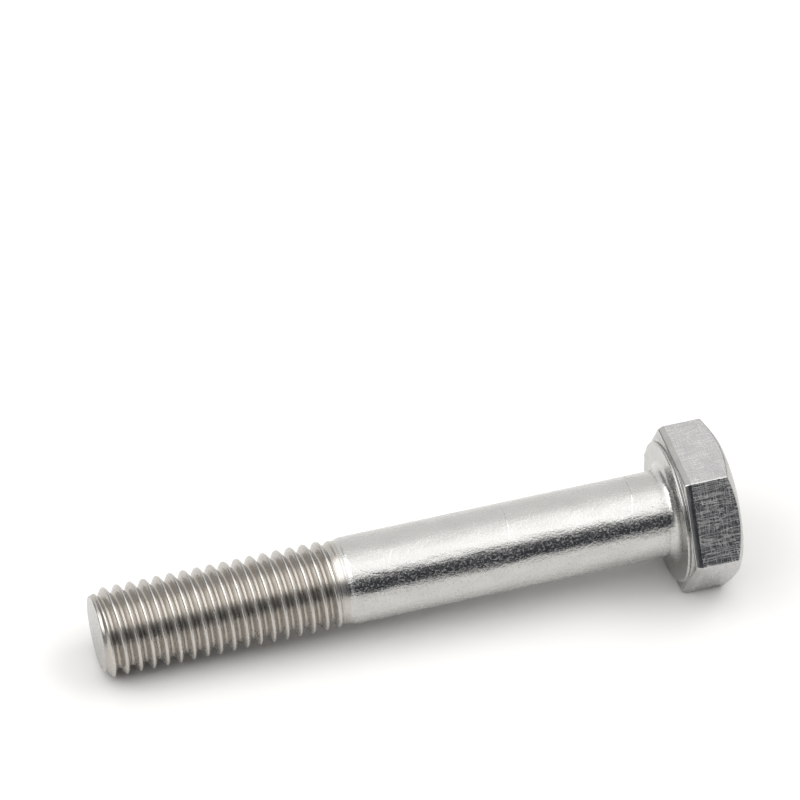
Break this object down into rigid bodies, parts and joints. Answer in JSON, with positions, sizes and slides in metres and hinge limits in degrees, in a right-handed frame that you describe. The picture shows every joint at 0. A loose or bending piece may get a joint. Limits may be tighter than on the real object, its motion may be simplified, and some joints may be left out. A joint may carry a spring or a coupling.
{
  "type": "hex bolt",
  "caption": "Hexagon head bolt with a plain shank, a washer face under the head and a metric coarse thread along the end of the shank.",
  "frame": {"origin": "centre of the head's top face, on the bolt's axis; the bearing face is the plane x = -0.0064", "axes": "+X along the bolt's axis out of the head's top face, with the tip at -X; +Z is the outward normal of one wrench flat, and -Z of the opposite one"},
  "size_m": [0.0714, 0.0194, 0.0168],
  "materials": {
    "stainless_steel": "bright cold-forged stainless steel, with fine drawing marks on the shank and flats"
  },
  "bodies": {
    "root": {"hex_bolt": "stainless_steel"}
  },
  "joints": []
}
